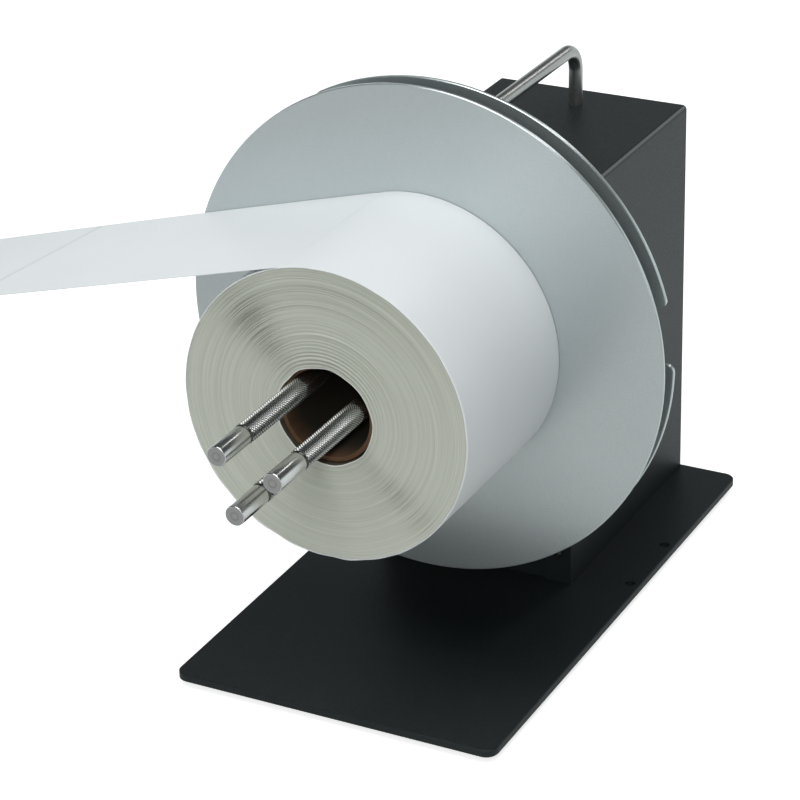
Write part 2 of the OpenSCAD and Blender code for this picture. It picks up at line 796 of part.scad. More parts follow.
// Spindle
module spindle_shaft() {
    groove_back = circlip_front - circlip_t - 2 * hole_fit;
    color(steel) on_axis() difference() {
        rod_between(shaft_d, shaft_back, hub_front - 0.5);
        ring(shaft_d / 2 - shaft_cut, shaft_d / 2 + 1, groove_back, circlip_front);
        translate([shaft_d / 2 - shaft_cut, -shaft_d / 2, boss_back])
            cube([2, shaft_d, hub_front - hub_t - boss_back]);
    }
}

module shaft_circlip() {
    front = circlip_front - hole_fit;
    color(zinc) on_axis() difference() {
        ring(shaft_d / 2 - shaft_cut + hole_fit, shaft_d / 2 + 2, front - circlip_t, front);
        translate([0, -shaft_d, front - 2]) linear_extrude(3) square([4, shaft_d * 2], center = true);
    }
}

module hub_flange() {
    color(zinc) on_axis() difference() {
        union() {
            translate([0, 0, hub_front - hub_t]) cylinder(r = hub_r, h = hub_t);
            rod_between(boss_d, boss_back, hub_front - hub_t);
        }
        translate([0, 0, boss_back - 1])
            cylinder(d = shaft_d + 2 * hole_fit, h = hub_front - boss_back + 2);
        at_pillars() translate([0, 0, hub_front - hub_t - 1])
            cylinder(d = hub_screw_d + 2 * hole_fit, h = hub_t + 2);
        hub_set_screw_place() translate([0, 0, -1]) cylinder(d = hub_screw_d + 2 * hole_fit, h = boss_d);
    }
}

// The set screw's place: on the shaft's flat, z outward along x
module hub_set_screw_place() {
    translate([shaft_d / 2 - shaft_cut, 0, (boss_back + hub_front - hub_t) / 2])
        rotate([0, 90, 0]) children();
}

module hub_set_screw() {
    color(dark_plastic) on_axis() hub_set_screw_place() difference() {
        cylinder(d = hub_screw_d, h = (boss_d - shaft_d) / 2 - 1);
        translate([0, 0, (boss_d - shaft_d) / 2 - 3]) cylinder(d = hub_screw_d * 0.5, h = 3, $fn = 6);
    }
}

module hub_screws() {
    color(zinc) on_axis() at_pillars() translate([0, 0, hub_front - hub_t]) rotate([180, 0, 0])
        cap_screw(hub_screw_d, hub_t + hub_screw_in);
}

// Felt ring bonded to the hub flange; the scroll disc rubs on it
module friction_ring() {
    color(card_brown) on_axis()
        ring(pillar_r + pillar_half + 0.5, hub_r, hub_front, hub_front + friction_t);
}

// Pillars carry the front disc; their necks run in the scroll disc's curved slots
module disc_pillars() {
    color(zinc) on_axis() at_pillars() difference() {
        union() {
            rod_between(pillar_neck_d, hub_front, scroll_front + run_gap);
            rod_between(pillar_d, scroll_front + run_gap, -disc_t);
        }
        translate([0, 0, hub_front - 1]) cylinder(d = hub_screw_d + 2 * hole_fit, h = hub_screw_in + 2);
        translate([0, 0, -disc_t - pillar_screw_in - 1])
            cylinder(d = pillar_screw_d + 2 * hole_fit, h = pillar_screw_in + 2);
    }
}

module front_disc() {
    color(disc_grey) on_axis() difference() {
        disc_blank(disc_d, 0);
        translate([0, 0, -disc_t - 1]) linear_extrude(disc_t + 2) for (index = [0:2])
            rotate(rod_angle + 120 * index)
                jaw_shape(slot_half, tongue_gap - run_gap, block_nose - run_gap,
                    rod_out + block_tail + run_gap);
        at_pillars() sunk_hole(pillar_screw_d, disc_t + 1);
    }
}

module disc_screws() {
    color(zinc) on_axis() at_pillars() sunk_screw(pillar_screw_d, disc_t + pillar_screw_in);
}

// Scroll disc
// Point near the spiral slot's centre line where that passes radius r, offset along it and across it
function spiral_point(r, along, across) =
    let (
        angle = (r - rod_rest) / scroll_rate * 180 / PI,
        turn = r / scroll_rate,
        slope = norm([1, turn]),
        radial = r + (along - across * turn) / slope,
        side = (along * turn + across) / slope
    )
    [radial * cos(angle) - side * sin(angle), radial * sin(angle) + side * cos(angle)];

// The follower's path: two spiral walls and two round ends
module spiral_slot_shape() {
    half = spiral_half;
    radii = [for (step = [0:slot_steps]) rod_in + (rod_out - rod_in) * step / slot_steps];
    ends = [for (step = [1:slot_end_steps - 1]) 180 * step / slot_end_steps];
    polygon(concat(
        [for (r = radii) spiral_point(r, 0, -half)],
        [for (a = ends) spiral_point(rod_out, half * sin(a), -half * cos(a))],
        [for (step = [slot_steps:-1:0]) spiral_point(radii[step], 0, half)],
        [for (a = ends) spiral_point(rod_in, -half * sin(a), half * cos(a))]));
}

// Notch in the rim about the x axis, with round outer corners
module notch_shape() {
    rim_r = scroll_d / 2;
    corner_y = notch_w / 2 + notch_corner_r;
    corner_x = sqrt(pow(rim_r - notch_corner_r, 2) - pow(corner_y, 2));
    touch = [corner_x, corner_y] * rim_r / (rim_r - notch_corner_r);
    translate([rim_r - notch_depth, -notch_w / 2]) square([2 * notch_depth, notch_w]);
    for (side = [0, 1]) mirror([0, side]) difference() {
        polygon([[corner_x, notch_w / 2 - 1], [corner_x, corner_y], touch, touch * 1.05,
            [rim_r * 1.05, notch_w / 2 - 1]]);
        translate([corner_x, corner_y]) circle(notch_corner_r);
    }
}

module scroll_disc() {
    close_turn = (rod_rest - rod_in) / scroll_rate * 180 / PI;
    open_turn = (rod_out - rod_rest) / scroll_rate * 180 / PI;
    color(disc_grey) on_axis() difference() {
        disc_blank(scroll_d, scroll_front);
        translate([0, 0, scroll_back - 1]) linear_extrude(disc_t + 2) for (index = [0:2]) {
            rotate(rod_angle + 120 * index) spiral_slot_shape();
            rotate(rod_angle + 60 + 120 * index)
                arc_slot_shape(pillar_r, pillar_half, -close_turn - 0.5, open_turn + 0.5);
            rotate(notch_angle + 120 * index) notch_shape();
        }
    }
}

// Rods and their slide blocks
// The rod's outline from its seat to its tip: body, groove, smooth tip, chamfer, centre dimple
module rod(index) {
    r = rod_d / 2;
    tip_r = rod_tip_d / 2;
    groove_r = min(r, tip_r) - rod_groove;
    knurl_end = rod_reach - rod_tip_l;
    color(steel) at_rod(index) rotate_extrude() polygon([
        [0, rod_back], [r, rod_back],
        [r, knurl_end - rod_groove_l], [groove_r, knurl_end - rod_groove_l],
        [groove_r, knurl_end], [tip_r, knurl_end],
        [tip_r, rod_reach - rod_chamfer], [tip_r - rod_chamfer, rod_reach],
        [tip_r * 0.3, rod_reach], [0, rod_reach - tip_r * 0.3]]);
}

// Strip along x with a blunt 120 degree point, so that three of them meet at the axis;
// gap keeps each one back from the lines between them
module jaw_shape(half, gap, nose, tail) {
    nose_half = (nose - gap / sin(60)) * tan(60);
    shoulder = half / tan(60) + gap / sin(60);
    polygon([[nose, -nose_half], [shoulder, -half], [tail, -half],
        [tail, half], [shoulder, half], [nose, nose_half]]);
}

// Nylon block between the discs, with a tongue that runs in the front disc's slot
module slide_block(index) {
    back = scroll_front + run_gap;
    front = -disc_t - run_gap;
    color(nylon) at_rod(index) difference() {
        translate([-rod_in, 0, 0]) {
            translate([0, 0, back]) linear_extrude(front - back)
                jaw_shape(block_half, run_gap, block_nose, rod_in + block_tail);
            translate([0, 0, front]) linear_extrude(disc_t)
                jaw_shape(tongue_half, tongue_gap, block_nose, rod_in + block_tail);
        }
        translate([0, 0, rod_back]) cylinder(d = rod_d + 2 * hole_fit, h = rod_seat + 1);
        translate([0, 0, back - 1])
            cylinder(d = follower_d + 2 * hole_fit, h = pin_front + hole_fit - back + 1);
    }
}

module follower_pin(index) {
    color(steel) at_rod(index) rod_between(follower_d, scroll_back - follower_over, pin_front);
}

module rod_1() { rod(0); }
module rod_2() { rod(1); }
module rod_3() { rod(2); }
module slide_block_1() { slide_block(0); }
module slide_block_2() { slide_block(1); }
module slide_block_3() { slide_block(2); }
module follower_pin_1() { follower_pin(0); }
module follower_pin_2() { follower_pin(1); }
module follower_pin_3() { follower_pin(2); }

// Label roll
// Wound paper; its front shows the layers as shallow uneven ridges
module paper_roll() {
    inner_r = core_r + hole_fit;
    steps = ridge_count * ridge_steps;
    ridge = [for (step = [0:steps])
        let (
            t = step / steps,
            wave = ridge_low + (1 - ridge_low) * pow(sin(t * ridge_wave), 2),
            dip = ridge_h * wave * (1 - cos(t * ridge_count * 360)) / 2
        )
        [inner_r + (wound_r - inner_r) * t, roll_front - dip]];
    color(roll_grey) on_axis() rotate_extrude($fn = 180)
        polygon(concat([[wound_r, roll_back], [inner_r, roll_back]], ridge));
}

module roll_core() {
    color(card_brown) on_axis() ring(core_d / 2, core_r, roll_back, roll_front - core_recess);
}

// Outermost turn of the web
module outer_wrap() {
    color(paper_white) on_axis() ring(roll_r - web_t, roll_r, roll_back, roll_front);
}

// Free web, leaving the outermost turn on its tangent
module web_tail() {
    root = sqrt(2 * roll_r * web_t) / 2;
    color(paper_white) on_axis() rotate([0, 0, web_angle]) difference() {
        translate([-web_l, roll_r - web_t, roll_back]) cube([web_l - root, web_t, roll_w]);
        translate([0, 0, roll_back - 1]) cylinder(r = roll_r, h = roll_w + 2, $fn = 180);
    }
}

base_plate();
rubber_feet();
chassis_bracket();
housing_cover();
rear_panel();
base_screws();
front_screws();
rear_screws();
handle();
handle_nuts();
bearing_plate();
bearing_outer_ring();
drive_screws();
gearbox();
motor();
control_board();
board_posts();
board_parts();
power_inlet();
inlet_nut();
speed_pot();
pot_nut();
power_switch();
direction_switch();
spindle_shaft();
bearing_inner_ring();
shaft_circlip();
hub_flange();
hub_set_screw();
hub_screws();
friction_ring();
disc_pillars();
front_disc();
disc_screws();
scroll_disc();
rod_1();
rod_2();
rod_3();
slide_block_1();
slide_block_2();
slide_block_3();
follower_pin_1();
follower_pin_2();
follower_pin_3();
paper_roll();
roll_core();
outer_wrap();
web_tail();
speed_knob();
pot_shaft();
power_rocker();
direction_rocker();
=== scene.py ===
# Label rewinder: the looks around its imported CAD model.
# Places come from the CAD nodes. Plain lengths are metres, and mm() marks sizes given in millimetres.
import json
import math
import random

import bmesh
import bpy
from mathutils import Matrix, Vector

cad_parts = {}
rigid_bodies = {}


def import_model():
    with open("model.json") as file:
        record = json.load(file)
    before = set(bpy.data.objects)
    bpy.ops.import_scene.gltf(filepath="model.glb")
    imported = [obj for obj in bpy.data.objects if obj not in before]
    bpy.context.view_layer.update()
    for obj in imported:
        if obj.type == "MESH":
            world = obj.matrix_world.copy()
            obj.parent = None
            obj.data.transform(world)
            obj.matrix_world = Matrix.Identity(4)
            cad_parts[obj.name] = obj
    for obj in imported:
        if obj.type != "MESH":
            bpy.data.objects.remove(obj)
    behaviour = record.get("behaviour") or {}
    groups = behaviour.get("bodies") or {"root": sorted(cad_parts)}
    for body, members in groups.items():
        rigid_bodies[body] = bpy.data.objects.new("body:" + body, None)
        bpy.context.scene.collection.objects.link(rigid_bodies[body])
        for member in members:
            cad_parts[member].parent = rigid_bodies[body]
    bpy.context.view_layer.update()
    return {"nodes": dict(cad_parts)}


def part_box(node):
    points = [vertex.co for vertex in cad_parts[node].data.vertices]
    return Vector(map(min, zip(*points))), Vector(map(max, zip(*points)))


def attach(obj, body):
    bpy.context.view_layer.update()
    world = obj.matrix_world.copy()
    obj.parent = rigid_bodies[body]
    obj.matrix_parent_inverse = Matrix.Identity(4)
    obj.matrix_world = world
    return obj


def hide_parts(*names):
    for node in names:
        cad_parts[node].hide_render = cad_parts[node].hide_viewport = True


for leftover in list(bpy.data.objects):
    bpy.data.objects.remove(leftover)
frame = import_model()
nodes = frame["nodes"]


def mm(value):
    return value / 1000


# Places taken from the CAD nodes
roll_low, roll_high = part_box("paper_roll")
core_low, core_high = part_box("roll_core")
turn_low, turn_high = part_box("outer_wrap")

AXIS_X = (roll_low.x + roll_high.x) / 2
AXIS_Z = (roll_low.z + roll_high.z) / 2
ROLL_FRONT, ROLL_BACK = turn_low.y, turn_high.y
ROLL_R = (turn_high.x - turn_low.x) / 2
CORE_R = (core_high.x - core_low.x) / 2
FLOOR_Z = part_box("rubber_feet")[0].z
DISC_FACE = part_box("front_disc")[0].y
HOUSE_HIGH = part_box("housing_cover")[1]

# Rods
KNURL_SIDES = 48
KNURL_ROWS = 170
KNURL_DEPTH = mm(0.4)
KNURL_CLEAR = mm(1.5)
TIP_L = mm(21.2)
TIP_STEP = mm(0.4)
TIP_EDGE_R = mm(0.5)
TIP_FACE_R = mm(4.2)
TIP_RING_R = (mm(1.25), mm(2.25))
GROOVE_L = mm(1.4)
GROOVE_DEPTH = mm(0.55)

# Wound paper
# A soft patch of its front is a direction and a width in degrees, round the spindle from its right side,
# and a radius and a width. A spoke has a strength before its patch. The hole's knots are in millimetres.
RIDGES = 150
ROLL_SIDES = 216
LIP_RIDGES = 3
LIP_DEPTH = mm(0.25)
WALL_FROM, WALL_TO = mm(0.4), mm(2.6)
ROLL_EDGE = mm(0.4)
SPOKES = ((1, (131, 13, mm(50), mm(20))), (0.7, (-42, 9, mm(50), mm(22))))
LOOSE_TOP = (78, 42, mm(60), mm(10))
PROUD_TURNS = ((95, 48, mm(52), mm(0.5)), (95, 48, mm(38), mm(0.5)))
PROUD_BY = mm(0.32)
RIDGE_SET_BACK = mm(0.1)
RIDGE_PLAIN, RIDGE_SECTOR, RIDGE_SPOKE, RIDGE_TOP = mm(0.03), mm(0.04), mm(0.2), mm(0.07)
HOLE_LOOSE = (80, 55)
HOLE_LOOSE_LEAST = 0.12
HOLE_REACH = mm(8)
HOLE_GROOVE, HOLE_GROOVE_PITCH = mm(0.5), mm(0.52)
KNOT_REACH = mm(3)
HOLE_KNOTS = (0.7, 0.0, -0.2, -0.75, -0.35, -1.0, -0.5, -1.2, -0.2,
              -0.6, 0.25, -0.1, 0.4, 0.0, 0.6, 0.3, 0.9, 0.5)

# Label web and the outermost turn
# The turn's front edge is proud and wavy: each wave is a count round the turn and a start.
WEB_T = mm(0.3)
WEB_SLOPE = math.radians(15)
WEB_L = mm(240)
WEB_SAG = mm(2.4)
WEB_LEAVES = math.pi / 2 + WEB_SLOPE
WEB_GRID = (160, 31)
LABEL_CUT = mm(157.5)
LABEL_CUT_WIDTH = mm(0.9)
LABEL_CUT_DEPTH = mm(0.12)
LABEL_CUT_LEAN = 0.16
TURN_STEPS = 180
TURN_ANGLE = math.radians(359.5)
TUCK_ANGLE = math.radians(50)
EDGE_PROUD = mm(0.3)
EDGE_WAVE = mm(0.22)
EDGE_WAVE_LEAST = 0.35
EDGE_WAVE_COUNTS = ((17, 0), (29, 2))
EDGE_BOTTOM = (285, 55)
EDGE_BEVEL = mm(0.35)

NEAR = mm(0.01)


# Modelling by hand, in small steps
def clear_selection():
    """Leaves edit mode and deselects everything, so that the next operator acts on its own piece alone."""
    if bpy.context.object and bpy.context.object.mode != "OBJECT":
        bpy.ops.object.mode_set(mode="OBJECT")
    bpy.ops.object.select_all(action="DESELECT")


def open_piece(name):
    """Names the primitive that was just added, puts its place into its mesh and opens it for editing."""
    piece = bpy.context.object
    piece.name = piece.data.name = name
    bpy.ops.object.transform_apply(location=True, rotation=True, scale=True)
    bpy.ops.object.mode_set(mode="EDIT")
    bpy.ops.mesh.select_all(action="DESELECT")
    return piece


def close_piece(angle):
    """Ends the editing, with edges sharper than the angle, in degrees, left sharp."""
    bpy.ops.object.mode_set(mode="OBJECT")
    bpy.ops.object.shade_smooth_by_angle(angle=math.radians(angle))


def pick(test):
    """Selects the vertices whose place passes the test, and what lies between them."""
    bpy.ops.mesh.select_mode(type="VERT")
    bpy.ops.mesh.select_all(action="DESELECT")
    shape = bmesh.from_edit_mesh(bpy.context.object.data)
    for vertex in shape.verts:
        vertex.select_set(bool(test(vertex.co)))
    shape.select_flush(True)
    bmesh.update_edit_mesh(bpy.context.object.data)


def pick_edges(test):
    """Selects the edges that pass the test."""
    bpy.ops.mesh.select_mode(type="EDGE")
    bpy.ops.mesh.select_all(action="DESELECT")
    shape = bmesh.from_edit_mesh(bpy.context.object.data)
    for edge in shape.edges:
        edge.select_set(bool(test(edge)))
    bmesh.update_edit_mesh(bpy.context.object.data)


def grow(move, ratio, centre):
    """Extrudes the selected ring along Y and scales it about an axis along Y."""
    bpy.ops.mesh.extrude_region_move(TRANSFORM_OT_translate={"value": (0, move, 0)})
    bpy.ops.transform.resize(value=(ratio, 1, ratio), center_override=centre)


def grow_along(profile, centre):
    """Takes the selected ring through a profile of (place along Y, radius)."""
    for (y_from, r_from), (y_to, r_to) in zip(profile, profile[1:]):
        grow(y_to - y_from, r_to / r_from, centre)


def mark_vertices(piece, name, level):
    """Keeps a level from 0 to 1 on each vertex, worked out from its place, for the materials."""
    marks = piece.data.color_attributes.new(name, "FLOAT_COLOR", "POINT")
    for vertex, mark in zip(piece.data.vertices, marks.data):
        mark.color = (*[level(vertex)] * 3, 1)


def set_modifier(piece, kind, **settings):
    """Adds a modifier and applies it at once."""
    clear_selection()
    piece.select_set(True)
    bpy.context.view_layer.objects.active = piece
    modifier = piece.modifiers.new(kind.title(), kind)
    for name, value in settings.items():
        setattr(modifier, name, value)
    bpy.ops.object.modifier_apply(modifier=modifier.name)


def off_axis(place):
    """A place's distances from the spindle axis, to the right and up."""
    return place.x - AXIS_X, place.z - AXIS_Z


def scale_off_axis(vertex, ratio):
    """Moves a vertex away from the spindle axis, or towards it, by a ratio."""
    across, up = off_axis(vertex.co)
    vertex.co.x, vertex.co.z = AXIS_X + across * ratio, AXIS_Z + up * ratio


def fade(away, width):
    """1 in the middle, falling to 0 over about a width."""
    return math.exp(-(away / width) ** 2)


def near(angle, middle, width):
    """1 in a direction round the spindle, given in degrees, and less beside it."""
    return fade((math.degrees(angle) - middle + 180) % 360 - 180, width)


def zone(angle, r, middle, width, middle_r, width_r):
    """The share of a soft patch of the roll's front, by the angle round the spindle and the radius."""
    return near(angle, middle, width) * fade(r - middle_r, width_r)


# Pieces
def knurled_rod():
    """The first rod: a diamond knurl, a groove at its end and a turned tip with a centre dimple."""
    low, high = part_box("rod_1")
    axis = Vector(((low.x + high.x) / 2, 0, (low.z + high.z) / 2))
    rod_r = (high.x - low.x) / 2
    valley_r = rod_r - KNURL_DEPTH
    tip_r = rod_r - TIP_STEP
    groove_r = tip_r - GROOVE_DEPTH
    tip_back = low.y + TIP_L
    knurl_back = DISC_FACE - KNURL_CLEAR
    knurl_front = tip_back + GROOVE_L
    length = knurl_back - knurl_front
    clear_selection()
    bpy.ops.mesh.primitive_cylinder_add(
        vertices=KNURL_SIDES, radius=valley_r, depth=length, end_fill_type="NOTHING",
        location=(axis.x, (knurl_back + knurl_front) / 2, axis.z), rotation=(math.pi / 2, 0, 0))
    rod = open_piece("rod_1_knurled")
    pick_edges(lambda edge: abs(edge.verts[0].co.y - edge.verts[1].co.y) > length / 2)
    bpy.ops.mesh.subdivide_edgering(number_cuts=KNURL_ROWS - 1, interpolation="LINEAR", smoothness=0)

    def is_peak(place):
        row = round((knurl_back - place.y) / length * KNURL_ROWS)
        column = round(math.atan2(place.x - axis.x, place.z - axis.z) / (2 * math.pi) * KNURL_SIDES)
        return 0 < row < KNURL_ROWS and (row + column) % 2 == 0

    pick(is_peak)
    bpy.ops.transform.resize(value=(rod_r / valley_r, 1, rod_r / valley_r), center_override=axis)
    bpy.ops.mesh.select_all(action="SELECT")
    bpy.ops.mesh.quads_convert_to_tris(quad_method="SHORTEST_DIAGONAL", ngon_method="BEAUTY")

    # The front end runs from the knurl into the groove, over the tip and its round edge to the turned face.
    neck = [(knurl_front, valley_r), (knurl_front, groove_r + mm(0.08)), (knurl_front - mm(0.1), groove_r),
            (tip_back + mm(0.25), groove_r), (tip_back + mm(0.05), tip_r - mm(0.2)),
            (tip_back - mm(0.25), tip_r)]
    bend = [(low.y + TIP_EDGE_R * (1 - math.sin(a)), tip_r - TIP_EDGE_R * (1 - math.cos(a)))
            for a in (math.radians(step) for step in (0, 22.5, 45, 67.5, 90))]
    face = [(low.y + mm(depth), mm(r)) for depth, r in (
        (0.03, 3.3), (0, 3.2), (0, 2.3), (0.04, 2.2), (0.02, 1.3), (0.05, 1.2), (0.05, 0.5), (0.15, 0.3),
        (0.2, 0.1))]
    pick(lambda place: place.y < knurl_front + NEAR)
    grow_along(neck + bend + face, axis)
    bpy.ops.mesh.merge(type="CENTER")
    pick(lambda place: place.y > knurl_back - NEAR)
    chamfer = mm(0.3)
    grow_along([(knurl_back, valley_r), (knurl_back + chamfer, rod_r), (high.y - chamfer, rod_r),
                (high.y, rod_r - chamfer), (high.y, mm(0.1))], axis)
    bpy.ops.mesh.merge(type="CENTER")
    bpy.ops.mesh.select_all(action="SELECT")
    bpy.ops.mesh.normals_make_consistent(inside=False)
    close_piece(24)

    # Painted shade: the knurl's valleys and its end groove are marked dark, and the tip's turned face darker,
    # most on a ring.
    def shade(vertex):
        if knurl_front - mm(1.3) < vertex.co.y < knurl_back:
            return 0 if is_peak(vertex.co) else 1
        r = (vertex.co - axis).xz.length
        if vertex.co.y > low.y + mm(0.25) or r > TIP_FACE_R:
            return 0
        return 0.75 if TIP_RING_R[0] < r < TIP_RING_R[1] else 0.6

    mark_vertices(rod, "rod_painted_shade", shade)
    return rod


def rod_copy(first, number, turn):
    """A copy of the first rod on another rod's place, turned about its own axis."""
    from_low, from_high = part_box("rod_1")
    to_low, to_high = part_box(f"rod_{number}")
    clear_selection()
    first.select_set(True)
    bpy.context.view_layer.objects.active = first
    bpy.ops.object.duplicate(linked=False)
    rod = bpy.context.object
    rod.name = rod.data.name = f"rod_{number}_knurled"
    move = (to_low + to_high - from_low - from_high) / 2
    bpy.ops.object.mode_set(mode="EDIT")
    bpy.ops.mesh.select_all(action="SELECT")
    bpy.ops.transform.rotate(value=turn, orient_axis="Y", center_override=(from_low + from_high) / 2)
    bpy.ops.transform.translate(value=move)
    bpy.ops.object.mode_set(mode="OBJECT")
    return rod


def wound_paper():
    """The wound turns: a spun profile whose front shows the turns as uneven, wavy ridges."""
    inner_r, outer_r = CORE_R + mm(0.15), ROLL_R - 2 * WEB_T
    wall, wall_end = ROLL_FRONT + WALL_FROM, ROLL_FRONT + WALL_TO
    front = [(outer_r + (inner_r - outer_r) * step / RIDGES, ROLL_FRONT) for step in range(RIDGES + 1)]
    profile = [(inner_r, ROLL_FRONT), (inner_r, ROLL_FRONT + LIP_DEPTH), (inner_r, wall), (inner_r, wall_end),
               (inner_r, ROLL_BACK - ROLL_EDGE), (inner_r + ROLL_EDGE, ROLL_BACK),
               (outer_r - ROLL_EDGE, ROLL_BACK), (outer_r, ROLL_BACK - ROLL_EDGE)] + front
    clear_selection()
    bpy.ops.mesh.primitive_plane_add(size=mm(1), location=(AXIS_X + inner_r, ROLL_FRONT, AXIS_Z))
    roll = open_piece("wound_paper_roll")
    bpy.ops.mesh.select_all(action="SELECT")
    bpy.ops.mesh.merge(type="CENTER")
    for (r_from, y_from), (r_to, y_to) in zip(profile, profile[1:]):
        bpy.ops.mesh.extrude_region_move(TRANSFORM_OT_translate={"value": (r_to - r_from, y_to - y_from, 0)})
    bpy.ops.mesh.select_all(action="SELECT")
    bpy.ops.mesh.spin(steps=ROLL_SIDES, angle=2 * math.pi, center=(AXIS_X, 0, AXIS_Z), axis=(0, 1, 0))
    bpy.ops.mesh.select_all(action="SELECT")
    bpy.ops.mesh.remove_doubles(threshold=NEAR)
    bpy.ops.mesh.normals_make_consistent(inside=False)

    # Each turn of the front stands a little deeper or prouder. Turns come loose near the hole and along two
    # spokes, two turns stand proud at the top, and the inner edge runs straight between uneven knots.
    shuffle = random.Random(11)
    heights = [shuffle.uniform(-1, 1) for _ in range(RIDGES + 1)]
    inner_edge, inner_wall_shade, loose = set(), set(), {}
    shape = bmesh.from_edit_mesh(roll.data)
    for vertex in shape.verts:
        across, up = off_axis(vertex.co)
        r, angle = math.hypot(across, up), math.atan2(up, across)
        # The hole's inner wall behind its front lip gets painted shade.
        if vertex.co.y > wall - NEAR and r < inner_r + NEAR:
            inner_wall_shade.add(vertex.index)
        if vertex.co.y > wall_end + NEAR:
            continue
        step = min(RIDGES, max(0, round((outer_r - r) / (outer_r - inner_r) * RIDGES)))
        hole = math.exp((inner_r - r) / HOLE_REACH) * (HOLE_LOOSE_LEAST + near(angle, *HOLE_LOOSE))
        groove = 1 - 2 * abs(math.sin(r / HOLE_GROOVE_PITCH + 0.5 * math.sin(angle * 2 + 0.6)))
        spoke = sum(strength * zone(angle, r, *place) for strength, place in SPOKES)
        proud = sum(zone(angle, r, *place) for place in PROUD_TURNS)
        top = zone(angle, r, *LOOSE_TOP)
        sector = 0.5 + 0.5 * math.sin(angle * 3 + 1.1)
        # This share also sets where shade lines are painted between the loose turns.
        loose[vertex.index] = min(1, spoke + 0.5 * top + 0.4 * hole)
        # The hole's front inner edge gets a painted highlight.
        if step > RIDGES - 2 and vertex.co.y < wall - NEAR:
            inner_edge.add(vertex.index)
        if 0 < step < RIDGES:
            rise = RIDGE_PLAIN + RIDGE_SECTOR * sector + RIDGE_SPOKE * spoke + RIDGE_TOP * top
            depth = RIDGE_SET_BACK + rise * heights[step] - PROUD_BY * proud
            if step > RIDGES - LIP_RIDGES:
                depth -= LIP_DEPTH
            else:
                depth += HOLE_GROOVE * hole * groove
            vertex.co.y += depth
        turn = (angle / (2 * math.pi)) % 1 * len(HOLE_KNOTS)
        knot, next_knot = HOLE_KNOTS[int(turn)], HOLE_KNOTS[(int(turn) + 1) % len(HOLE_KNOTS)]
        drift = (knot + (next_knot - knot) * (turn % 1)) * math.exp((inner_r - r) / KNOT_REACH)
        scale_off_axis(vertex, (r + mm(drift)) / r)
    bmesh.update_edit_mesh(roll.data)
    close_piece(50)
    mark_vertices(roll, "paper_edge_highlight", lambda vertex: 1 if vertex.index in inner_edge else 0)
    mark_vertices(roll, "inner_wall_shade", lambda vertex: 1 if vertex.index in inner_wall_shade else 0)
    mark_vertices(roll, "loose_turn_shade", lambda vertex: loose.get(vertex.index, 0))
    return roll


def label_strip():
    """The free web and the outermost turn, as one strip of coated paper."""
    r = ROLL_R - WEB_T / 2
    width = ROLL_BACK - ROLL_FRONT
    root = Vector((AXIS_X + r * math.cos(WEB_LEAVES), 0, AXIS_Z + r * math.sin(WEB_LEAVES)))
    along = Vector((-math.cos(WEB_SLOPE), 0, -math.sin(WEB_SLOPE)))
    middle = root + along * WEB_L / 2
    middle.y = (ROLL_FRONT + ROLL_BACK) / 2
    clear_selection()
    bpy.ops.mesh.primitive_grid_add(x_subdivisions=WEB_GRID[0], y_subdivisions=WEB_GRID[1], size=1,
                                    location=middle, rotation=(0, -WEB_SLOPE, 0))
    bpy.context.object.scale = (WEB_L, width, 1)
    strip = open_piece("label_strip")
    pick(lambda place: (place - root).dot(along) < NEAR)
    bpy.ops.mesh.spin(steps=TURN_STEPS, angle=-TURN_ANGLE, center=(AXIS_X, 0, AXIS_Z), axis=(0, 1, 0))

    def cut_share(vertex):
        out = (vertex.co - root).dot(along)
        return fade(out - LABEL_CUT - (ROLL_BACK - vertex.co.y) * LABEL_CUT_LEAN, LABEL_CUT_WIDTH)

    # The end of the turn runs in under the web, and the turn's front edge is wavy, more so at the bottom. The
    # cut between two labels shows as a fine line, and the web's back edge hangs a little to its free end.
    shape = bmesh.from_edit_mesh(strip.data)
    for vertex in shape.verts:
        across, up = off_axis(vertex.co)
        off_turn = abs(math.hypot(across, up) - r)
        angle = math.atan2(up, across) - WEB_LEAVES
        if off_turn < mm(0.05) and mm(0.1) / r < angle < TUCK_ANGLE:
            scale_off_axis(vertex, 1 - WEB_T / r * (1 - angle / TUCK_ANGLE))
        if vertex.co.y < ROLL_FRONT + NEAR and off_turn < mm(0.5):
            bottom = fade(math.degrees(angle + WEB_LEAVES) % 360 - EDGE_BOTTOM[0], EDGE_BOTTOM[1])
            wave = sum(math.sin(angle * count + start) for count, start in EDGE_WAVE_COUNTS)
            vertex.co.y -= EDGE_PROUD + EDGE_WAVE * (EDGE_WAVE_LEAST + bottom) * wave
        out = (vertex.co - root).dot(along)
        if out > mm(1):
            sag = WEB_SAG * (out / WEB_L) ** 2 * (vertex.co.y - ROLL_FRONT) / width
            vertex.co.z -= sag + LABEL_CUT_DEPTH * cut_share(vertex)
    bmesh.update_edit_mesh(strip.data)
    close_piece(40)
    mark_vertices(strip, "label_cut", cut_share)
    set_modifier(strip, "SOLIDIFY", thickness=WEB_T, offset=0)

    # The turn's inner side lies on the roll, and its front edge is bevelled outwards.
    for vertex in strip.data.vertices:
        across, up = off_axis(vertex.co)
        radius = math.hypot(across, up)
        past = (math.atan2(up, across) - WEB_LEAVES) % (2 * math.pi)
        if radius < r - WEB_T * max(0, 1 - past / TUCK_ANGLE):
            scale_off_axis(vertex, (ROLL_R - 2 * WEB_T + mm(0.05)) / radius)
        elif radius < ROLL_R + mm(0.05) and vertex.co.y < ROLL_FRONT + mm(0.6):
            vertex.co.y += EDGE_BEVEL
    bpy.ops.object.shade_smooth_by_angle(angle=math.radians(40))
    return strip


